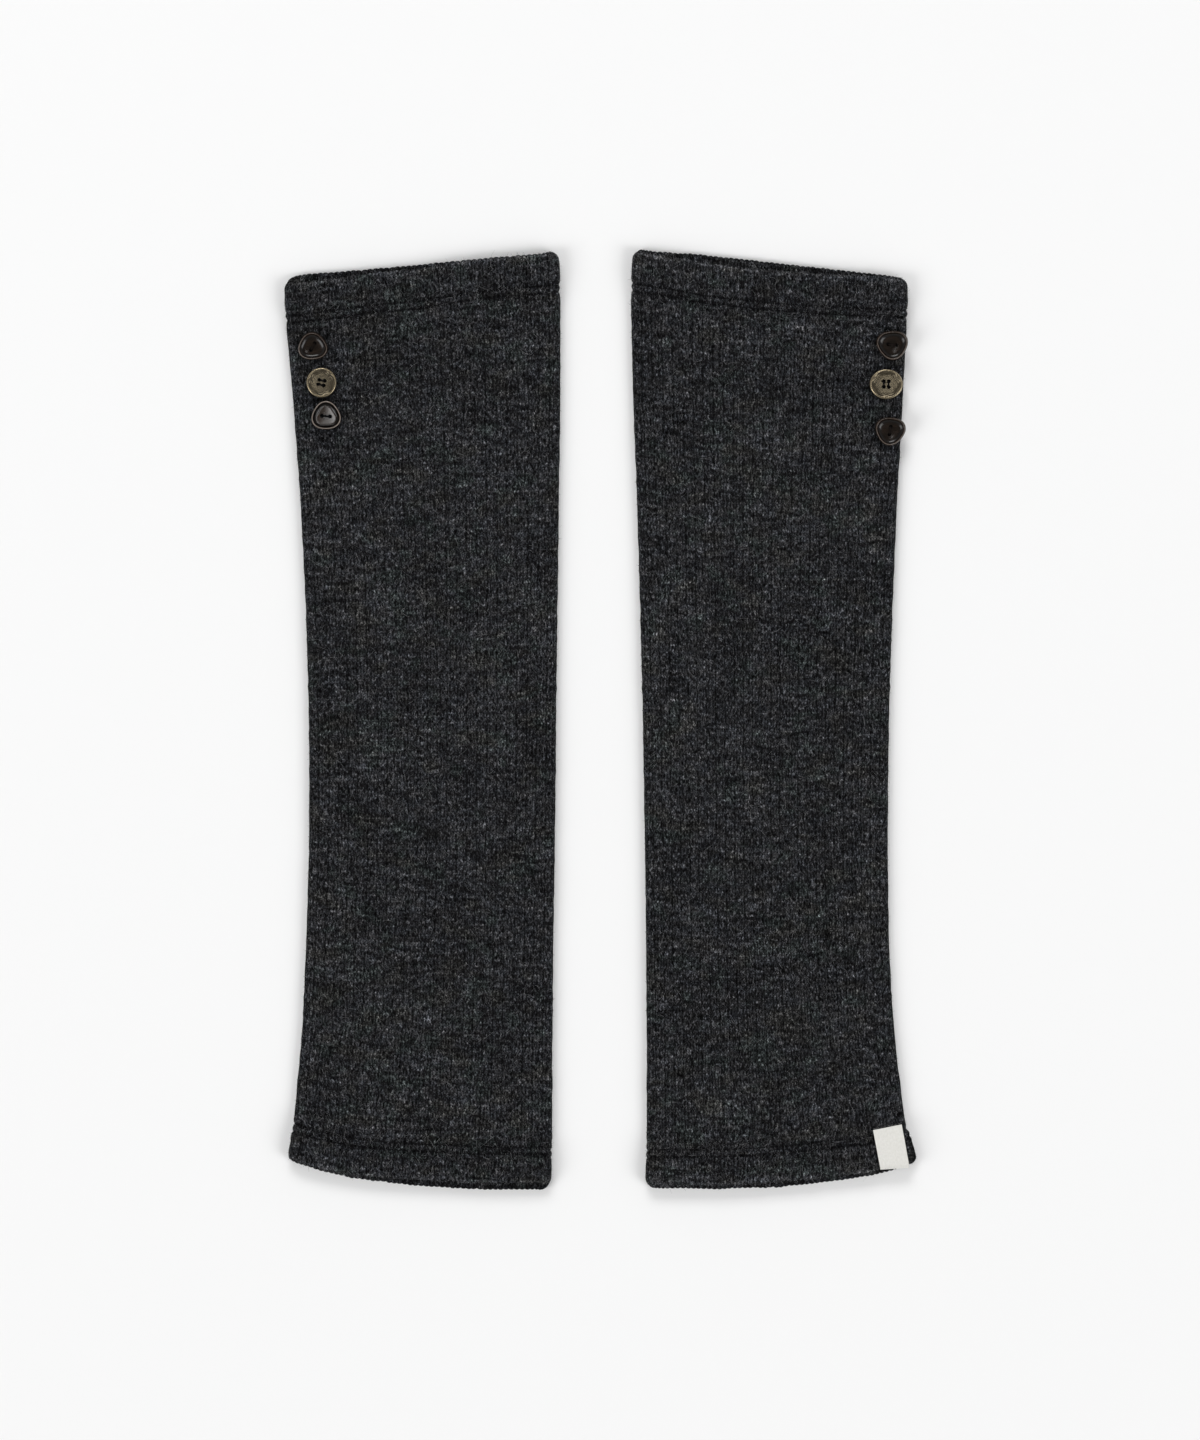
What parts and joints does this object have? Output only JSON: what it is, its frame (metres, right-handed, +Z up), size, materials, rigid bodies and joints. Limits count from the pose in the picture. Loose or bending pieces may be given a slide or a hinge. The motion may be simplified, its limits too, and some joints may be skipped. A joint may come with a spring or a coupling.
{
  "type": "pair of leg warmers",
  "caption": "Shaped rib-knit leg warmers laid flat as a pair, with turned hems, decorative buttons beside the outer seams and a bare folded tape label on one hem.",
  "frame": {"origin": "bottom centre of the pair's bounding box, on the surface it lies on", "axes": "+X from the leg on the left to the one on the right as laid out, +Y from the lower hems to the upper ones, +Z up off the surface"},
  "size_m": [0.284, 0.4224, 0.0084],
  "materials": {
    "knit": "soft brushed melange rib knit, charcoal",
    "dark_button": "glossy dark brown horn look",
    "brass_button": "pale antique brass, satin",
    "tape": "off-white woven tape"
  },
  "bodies": {
    "root": {"left_front": "knit", "left_back": "knit", "right_front": "knit", "right_back": "knit", "left_button_1": "dark_button", "left_button_2": "brass_button", "left_button_3": "dark_button", "right_button_1": "dark_button", "right_button_2": "brass_button", "right_button_3": "dark_button", "right_label": "tape"}
  },
  "joints": []
}
